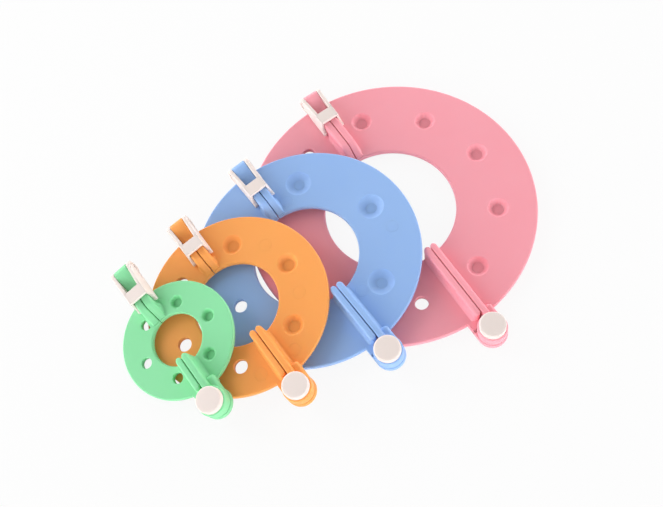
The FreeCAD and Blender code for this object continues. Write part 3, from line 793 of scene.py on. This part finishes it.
class DimpleArm(Arm):
    """Right arm, with the upper knuckle and the barrel that the clasp turns on."""

    def __init__(self, shop: Workshop, ring: RingSizes) -> None:
        super().__init__(shop, ring, Side.DIMPLE)

    def extras(self) -> None:
        """Add the knuckle with its neck, and the barrel with its link and trunnions."""
        self.knuckle()
        self.neck()
        self.barrel()

    def knuckle(self) -> None:
        """Round post over the lower ear."""
        radius, low, top = COMMON.knuckle_radius, COMMON.knuckle_low, COMMON.knuckle_top
        edge = COMMON.knuckle_round
        profile = [(COMMON.bore_radius, low), (radius - 0.2, low), (radius, low + 0.2)]
        profile += arc((radius - edge, top - edge), edge, 0.0, 90.0, 5)
        profile.append((COMMON.bore_radius, top))
        self.shells.lathe((self.ring.pivot, self.ring.seam), profile, STRIPS.hinge)

    def neck(self) -> None:
        """Rounded shoulder that carries the knuckle from the rim."""
        start = self.ring.outer - COMMON.neck_depth
        stop = self.ring.pivot - COMMON.ear_radius - COMMON.neck_overlap
        corner, low_end, quarter = COMMON.neck_corner, COMMON.knuckle_low, STRIPS.quarter
        shares = [math.cos(math.pi / 2 * step / quarter) for step in range(quarter + 1)]
        stations = [(start + corner * (1.0 - share), math.sqrt(1.0 - share * share), 1.0) for share in shares]
        stations += [(stop, 1.0, 1.0), (stop + COMMON.overlap, 1.0, low_end), (self.ring.pivot, 1.0, low_end)]
        sections = []
        for along, share, low in stations:
            top = COMMON.thickness - 0.2 + (COMMON.neck_top + 0.2 - COMMON.thickness) * share
            reach = COMMON.knuckle_radius - corner * (1.0 - share)
            edge = min(COMMON.neck_round, max((top - low) * 0.6, 0.1))
            near = COMMON.seam_half + 0.1
            points = [(near, low), (near, top)]
            points += arc((reach - edge, top - edge), edge, 90.0, 0.0, quarter)
            points.append((reach, low))
            sections.append([(along, self.across(distance), height) for distance, height in points])
        self.shells.loft(sections)

    def barrel(self) -> None:
        """Round-ended block across the seam, its link to the rib, and its two trunnions."""
        ring = self.ring
        axis, height, radius = -ring.barrel, COMMON.axis_height, COMMON.barrel_radius
        inner = -(ring.bridge_outer + COMMON.barrel_back_gap)
        outline = [(inner, COMMON.knuckle_low)]
        top = (axis, height + radius)
        for step in range(STRIPS.barrel_top + 1):
            share = step / STRIPS.barrel_top
            drop = (height + radius - COMMON.barrel_inner_top) * smooth(1.0 - share) ** 0.9
            outline.append((inner + (top[0] - inner) * share, height + radius - drop))
        outline += arc((axis, height), radius, 90.0, 270.0, 18)[1:]
        narrow, wide = (width / 2 for width in COMMON.barrel_widths)
        run = inner - axis

        def half(along: float) -> float:
            """Half width of the barrel at an X."""
            return narrow + (wide - narrow) * min(max((inner - along) / run, 0.0), 1.0)

        self.shells.slab(
            outline, lambda x: ring.seam - half(x), lambda x: ring.seam + half(x), COMMON.barrel_round
        )
        far, near = -(ring.bridge_outer + COMMON.link_out), -(ring.bridge_outer - COMMON.link_in)
        low, high = COMMON.knuckle_low, COMMON.link_height
        link = [(far, low), (near, low), (near, high), (far, high)]
        inside, outside = self.across(COMMON.seam_half + COMMON.overlap), self.across(narrow - 0.1)
        self.shells.slab(link, lambda x: inside, lambda x: outside, 0.1)
        pin = arc((axis, height), COMMON.trunnion_radius, 0.0, 360.0, 32)[:-1]
        reach = COMMON.cheek_outside[1] - COMMON.trunnion_short
        edge = COMMON.trunnion_round
        self.shells.slab(pin, lambda x: ring.seam - reach, lambda x: ring.seam + reach, edge)


class HoledArm(Arm):
    """Left arm, with the lower ear that the pin goes through."""

    def __init__(self, shop: Workshop, ring: RingSizes) -> None:
        super().__init__(shop, ring, Side.HOLED)

    def extras(self) -> None:
        """Add the ear and its neck."""
        radius, top, edge = COMMON.ear_radius, COMMON.thickness, COMMON.ear_round
        recess, depth, bevel = COMMON.recess_radius, COMMON.recess_depth, COMMON.ear_chamfer
        profile = [(COMMON.bore_radius, depth), (recess, depth), (recess, 0.0)]
        profile += [(radius - bevel, 0.0), (radius, bevel)]
        profile += arc((radius - edge, top - edge), edge, 0.0, 90.0, 5)
        profile.append((COMMON.bore_radius, top))
        self.shells.lathe((self.ring.pivot, self.ring.seam), profile, STRIPS.hinge)
        start, pivot = self.ring.outer - COMMON.ear_neck_run, self.ring.pivot
        end = pivot - recess - bevel
        side, gap = self.across(radius), COMMON.overlap
        for near, far, inside in (
            (start, end, self.across(COMMON.seam_half + gap)),
            (end - 1.0, pivot, self.across(recess + bevel)),
        ):
            outline = [(near, gap), (far, gap), (far, top - gap), (near, top - gap)]
            self.shells.slab(outline, lambda x: side, lambda x, inside=inside: inside, bevel)


class Clasp:
    """Catch that turns on the barrel: two cheeks with hollowed sides, joined by a bridge."""

    def __init__(self, shop: Workshop, ring: RingSizes) -> None:
        self.shop, self.ring = shop, ring

    def half_width(self, along: float, widths: Flat) -> float:
        """Half a width at an X, between its values at the bridge and at the barrel."""
        share = max(-self.ring.bridge_outer - along, 0.0) / (self.ring.barrel - self.ring.bridge_outer)
        return widths[0] + (widths[1] - widths[0]) * share

    def cheek_outline(self) -> list[Flat]:
        """Side view of a cheek's rear part, round the trunnion, anticlockwise."""
        axis, height, radius = -self.ring.barrel, COMMON.axis_height, COMMON.cheek_end_radius
        low, far, top = height - radius, -self.ring.bridge_outer, COMMON.clasp_top
        outline = arc((axis, height), radius, 95.0, 290.0, 26)
        outline += [(axis + 2.2, low + 0.75), (axis + 3.2, low + 0.95), (axis + 4.6, low + 0.7)]
        outline += [(axis + 6.5, low + 0.2), (far, low), (far, top), (far - 1.5, top - 0.05)]
        return outline

    def prong_outline(self) -> list[Flat]:
        """Side view of a cheek's front part, from the bridge to the prong's tip, anticlockwise."""
        ring = self.ring
        low, high, top = COMMON.axis_height - COMMON.cheek_end_radius, COMMON.prong_tip_top, COMMON.clasp_top
        tip, fork, back = -ring.prong_tip, -ring.bridge_inner, -ring.bridge_outer - COMMON.prong_overlap
        crest, quarter = top - COMMON.prong_drop, STRIPS.quarter
        outline = [(back, low), (tip, low)]
        for step in range(quarter + 1):
            turn = math.pi / 2 * step / quarter
            drop = (crest - high) * math.cos(turn)
            outline.append((tip - (tip - fork) * math.sin(turn), crest - drop))
        outline += [(fork, top), (back, top - 0.01)]
        return outline

    def cheek(self, shells: Shells, sign: float) -> None:
        """Add the cheek on one side, with the hollow in it."""
        seam, outside, window = self.ring.seam, COMMON.cheek_outside, COMMON.window_half
        rear = Shells()
        faces = [
            lambda x: seam + sign * self.half_width(x, window),
            lambda x: seam + sign * self.half_width(x, outside),
        ]
        low, high = faces[:: int(sign)]
        rear.slab(self.cheek_outline(), low, high, COMMON.cheek_round, 4)
        shells.add(carved(rear.to_mesh("cheek"), self.hollow(sign)))
        near, far = sorted((seam + sign * COMMON.channel_half, seam + sign * (outside[0] - 0.01)))
        shells.slab(self.prong_outline(), lambda x: near, lambda x: far, COMMON.prong_round)

    def build(self) -> None:
        """Make the clasp and hand it over."""
        ring = self.ring
        shells = Shells()
        for sign in (-1.0, 1.0):
            self.cheek(shells, sign)
        far, near = -ring.bridge_outer, -ring.bridge_inner
        top, low, edge = COMMON.clasp_top + 0.01, COMMON.bridge_low, COMMON.bridge_round
        outline = []
        for along, height, turn in ((near - edge, low + edge, -90.0), (near - edge, top - edge, 0.0),
                                    (far + edge, top - edge, 90.0), (far + edge, low + edge, 180.0)):
            outline += arc((along, height), edge, turn, turn + 90.0, 3)
        reach = COMMON.cheek_outside[0] - 0.35
        shells.slab(outline, lambda x: ring.seam - reach, lambda x: ring.seam + reach, 0.05, 1)
        name = f"{ring.name}_clasp"
        mesh = shells.to_mesh(name)
        self.flare(mesh)
        self.shop.hand_over(f"{name}_moulding", mesh, ring, "cream_plastic", f"{ring.name}_catch", name)

    def flare(self, mesh: bpy.types.Mesh) -> None:
        """Spread the outer sides of the cheeks towards the bottom."""
        seam = self.ring.seam
        for corner in mesh.vertices:
            across = corner.co.y - seam
            share = min(max((abs(across) - COMMON.channel_half) / COMMON.flare_run, 0.0), 1.0)
            drop = (COMMON.clasp_top - corner.co.z) / COMMON.clasp_height
            corner.co.y += math.copysign(COMMON.cheek_flare * share * drop, across)

    def hollow(self, sign: float) -> bpy.types.Mesh:
        """Shape that cuts the long hollow in a cheek's side, round the end of the trunnion."""
        axis, height, radius = -self.ring.barrel, COMMON.axis_height, COMMON.hollow_radius
        outline = arc((axis + COMMON.hollow_run, height), radius, -90.0, 90.0, 14)
        outline += arc((axis, height), radius, 90.0, 270.0, 14)
        tool = Shells()
        floor, out = COMMON.cheek_outside[1] - COMMON.hollow_depth, COMMON.hollow_reach
        low, high = sorted((self.ring.seam + sign * floor, self.ring.seam + sign * out))
        tool.slab(outline, lambda x: low, lambda x: high, COMMON.hollow_round, 2)
        return tool.to_mesh("hollow")


class HingeCap:
    """Round button on the knuckle, with a soft bevel."""

    def __init__(self, shop: Workshop, ring: RingSizes) -> None:
        self.shop, self.ring = shop, ring

    def build(self) -> None:
        """Make the button and hand it over."""
        low, radius = COMMON.knuckle_top, COMMON.cap_radius
        top = low + COMMON.cap_height
        bore, roof, edge = COMMON.bore_radius, low + COMMON.cap_bore_depth, COMMON.cap_round
        profile = [(0.0, roof), (bore, roof), (bore, low), (radius - 0.15, low)]
        profile += [(radius, low + 0.15), (radius, top - edge - 0.3)]
        profile += arc((radius - edge, top - edge), edge, 0.0, 90.0, 7)
        profile += [(radius - 2.0 * edge, top + 0.02), (0.0, top + 0.05)]
        shells = Shells()
        shells.lathe((self.ring.pivot, self.ring.seam), profile, STRIPS.cap)
        name = f"{self.ring.name}_hinge_cap"
        mesh = shells.to_mesh(name)
        body = f"{self.ring.name}_base"
        self.shop.hand_over(f"{name}_button", mesh, self.ring, "cream_plastic", body, name)


def grain_group() -> bpy.types.NodeTree:
    """Shader node group that gives moulded plastic its faint mottle and its fine grain."""
    tree = bpy.data.node_groups.new("moulded_grain", "ShaderNodeTree")
    face = tree.interface
    for label, kind, value in (
        ("Colour", "Color", (0.8, 0.8, 0.8, 1.0)),
        ("Deep Colour", "Color", (0.7, 0.7, 0.7, 1.0)),
        ("Mottle Scale", "Float", 40.0),
        ("Grain Scale", "Float", 2600.0),
        ("Roughness", "Float", 0.4),
        ("Roughness Spread", "Float", 0.06),
    ):
        socket = face.new_socket(name=label, in_out="INPUT", socket_type=f"NodeSocket{kind}")
        socket.default_value = value
    for label, kind in (("Colour", "Color"), ("Roughness", "Float"), ("Height", "Float")):
        face.new_socket(name=label, in_out="OUTPUT", socket_type=f"NodeSocket{kind}")
    given = tree.nodes.new("NodeGroupInput").outputs
    place = add_node(tree, "ShaderNodeTexCoord").outputs["Object"]
    cloud = {"Vector": place, "Scale": given["Mottle Scale"], "Detail": 3.0, "Roughness": 0.55}
    mottle = add_node(tree, "ShaderNodeTexNoise", cloud).outputs["Fac"]
    tints = {"Factor": mottle, 6: given["Colour"], 7: given["Deep Colour"]}
    colour = add_node(tree, "ShaderNodeMix", tints, data_type="RGBA").outputs[2]
    centred = maths(tree, "SUBTRACT", mottle, 0.5)
    rough = maths(tree, "MULTIPLY_ADD", centred, given["Roughness Spread"], given["Roughness"])
    speckle = {"Vector": place, "Scale": given["Grain Scale"], "Detail": 2.0}
    grain = add_node(tree, "ShaderNodeTexNoise", speckle).outputs["Fac"]
    add_node(tree, "NodeGroupOutput", {"Colour": colour, "Roughness": rough, "Height": grain})
    return tree


@dataclass(frozen=True)
class MouldedPlastic:
    """Finish of one injection-moulded colour."""

    name: str
    colour: Rgb
    deep_colour: Rgb
    roughness: float = 0.42
    shine: float = 0.15
    grain_height: float = 0.004 * MM
    glow: float = 0.12
    glow_depth: float = 1.2 * MM

    def build(self, grain: bpy.types.NodeTree) -> bpy.types.Material:
        """Make the material from the shared mottle and grain group."""
        material = bpy.data.materials.new(self.name)
        material.use_nodes = True
        tree = material.node_tree
        tint = linear(self.colour)
        group = add_node(tree, "ShaderNodeGroup", {
            "Colour": tint,
            "Deep Colour": linear(self.deep_colour),
            "Roughness": self.roughness,
        }, node_tree=grain).outputs
        bump = add_node(tree, "ShaderNodeBump", {"Distance": self.grain_height, "Height": group["Height"]})
        feed(tree.nodes["Principled BSDF"], {
            "Base Color": group["Colour"],
            "Roughness": group["Roughness"],
            "Normal": bump.outputs["Normal"],
            "Specular IOR Level": self.shine,
            "Subsurface Weight": self.glow,
            "Subsurface Scale": self.glow_depth,
            "Subsurface Radius": [share / max(tint[:3]) for share in tint[:3]],
        })
        return material


FINISHES: tuple[MouldedPlastic, ...] = (
    MouldedPlastic("pink_plastic", (255, 172, 184), (254, 164, 176)),
    MouldedPlastic("blue_plastic", (158, 193, 242), (150, 186, 238)),
    MouldedPlastic("orange_plastic", (255, 173, 97), (253, 165, 88)),
    MouldedPlastic("green_plastic", (148, 228, 172), (140, 222, 164)),
    MouldedPlastic("cream_plastic", (238, 226, 220), (233, 220, 214)),
)


@dataclass
class Studio:
    """White floor, even daylight that is brightest near the horizon, and one soft lamp."""

    floor_radius: float = 4.0
    floor_drop: float = 0.05 * MM
    floor_shade: float = 0.86
    floor_roughness: float = 0.9
    overhead: float = 0.15
    horizon: float = 4.4
    lamps: tuple[tuple[str, tuple[float, float, float], float, float], ...] = (
        ("key_lamp", (-0.75, 0.45, 0.6), 0.5, 2.2),
    )
    shadow_share: float = 0.1

    def floor(self) -> None:
        """Lay a round floor that shows white and keeps a faint shadow."""
        mesh = bpy.data.meshes.new("floor")
        shape = bmesh.new()
        bmesh.ops.create_circle(shape, cap_ends=True, segments=64, radius=self.floor_radius)
        bmesh.ops.translate(shape, verts=shape.verts, vec=(0, 0, -self.floor_drop))
        shape.to_mesh(mesh)
        shape.free()
        floor = bpy.data.objects.new("floor", mesh)
        bpy.context.scene.collection.objects.link(floor)
        material = bpy.data.materials.new("floor_white")
        material.use_nodes = True
        tree, shade = material.node_tree, self.floor_shade
        shader = tree.nodes["Principled BSDF"]
        feed(shader, {"Base Color": (shade, shade, shade, 1.0), "Roughness": self.floor_roughness})
        white = add_node(tree, "ShaderNodeEmission", {"Strength": 1.0}).outputs[0]
        path = add_node(tree, "ShaderNodeLightPath").outputs
        seen = maths(tree, "MAXIMUM", path["Is Camera Ray"], path["Is Glossy Ray"])
        share = maths(tree, "MULTIPLY", seen, 1.0 - self.shadow_share)
        mix = add_node(tree, "ShaderNodeMixShader", {0: share, 1: shader.outputs[0], 2: white})
        feed(tree.nodes["Material Output"], {"Surface": mix.outputs[0]})
        mesh.materials.append(material)

    def daylight(self) -> None:
        """Light the scene evenly, and show plain white behind it."""
        world = bpy.data.worlds.new("daylight")
        bpy.context.scene.world = world
        world.use_nodes = True
        tree = world.node_tree
        heading = add_node(tree, "ShaderNodeTexCoord").outputs["Generated"]
        height = add_node(tree, "ShaderNodeSeparateXYZ", {0: heading}).outputs["Z"]
        lowness = maths(tree, "SUBTRACT", 1.0, maths(tree, "ABSOLUTE", height))
        low_light = maths(tree, "MULTIPLY", maths(tree, "POWER", lowness, 2.0), self.horizon)
        light = tree.nodes["Background"]
        feed(light, {"Strength": maths(tree, "ADD", low_light, self.overhead), "Color": (1.0, 1.0, 1.0, 1.0)})
        white = add_node(tree, "ShaderNodeBackground", {"Strength": 1.0}).outputs[0]
        seen = add_node(tree, "ShaderNodeLightPath").outputs["Is Camera Ray"]
        mix = add_node(tree, "ShaderNodeMixShader", {0: seen, 1: light.outputs[0], 2: white})
        feed(tree.nodes["World Output"], {"Surface": mix.outputs[0]})

    def hang_lamps(self) -> None:
        """Hang the soft lamps, each facing the middle of the set."""
        for name, place, size, power in self.lamps:
            lamp = bpy.data.lights.new(name, "AREA")
            lamp.shape = "DISK"
            lamp.size = size
            lamp.energy = power
            hung = bpy.data.objects.new(name, lamp)
            hung.location = place
            hung.rotation_euler = (-Vector(place)).to_track_quat("-Z", "Y").to_euler()
            bpy.context.scene.collection.objects.link(hung)

    def build(self) -> None:
        """Set up the whole studio."""
        self.floor()
        self.daylight()
        self.hang_lamps()
        bpy.context.scene.view_settings.view_transform = "Standard"


@dataclass
class PhotoCamera:
    """Camera at the photograph's viewpoint."""

    elevation: float = 64.29
    roll: float = -13.44
    distance: float = 380.2 * MM
    aim: tuple[float, float, float] = (-1.904 * MM, 3.489 * MM, -1.456 * MM)
    lens: float = 52.07
    sensor: float = 36.0

    def build(self) -> None:
        """Place the camera and make it the scene's own."""
        slope, turn = math.radians(self.elevation), math.radians(self.roll)
        ahead = Vector((0.0, math.cos(slope), -math.sin(slope)))
        level, rise = Vector((1.0, 0.0, 0.0)), Vector((0.0, math.sin(slope), math.cos(slope)))
        across = level * math.cos(turn) + rise * math.sin(turn)
        upward = rise * math.cos(turn) - level * math.sin(turn)
        eye = -(ahead * self.distance + across * self.aim[0] + upward * self.aim[1])
        eye.y += self.aim[2]
        axes = Matrix((across, upward, -ahead)).transposed().to_4x4()
        lens = bpy.data.cameras.new("photo_camera")
        lens.sensor_width = self.sensor
        lens.lens = self.lens
        lens.clip_start = 0.01
        camera = bpy.data.objects.new("photo_camera", lens)
        camera.matrix_world = Matrix.Translation(eye) @ axes
        bpy.context.scene.collection.objects.link(camera)
        bpy.context.scene.camera = camera


def dress_frame_nodes(materials: dict[str, bpy.types.Material]) -> None:
    """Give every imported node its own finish, by the slot that the record gives it."""
    slots = {part["node"]: part["material_slot"] for part in frame["record"]["subparts"]}
    for name, node in frame["nodes"].items():
        node.data.materials.clear()
        node.data.materials.append(materials[slots[name]])


def main() -> None:
    """Build the finishes, the studio and the camera, and dress the set."""
    logging.basicConfig(level=logging.INFO)
    grain = grain_group()
    materials = {finish.name: finish.build(grain) for finish in FINISHES}
    dress_frame_nodes(materials)
    shop = Workshop(materials)
    for ring in RINGS:
        for piece in (DimpleArm, HoledArm, HingeCap, Clasp):
            piece(shop, ring).build()
    Studio().build()
    PhotoCamera().build()


if __name__ == "__main__":
    main()
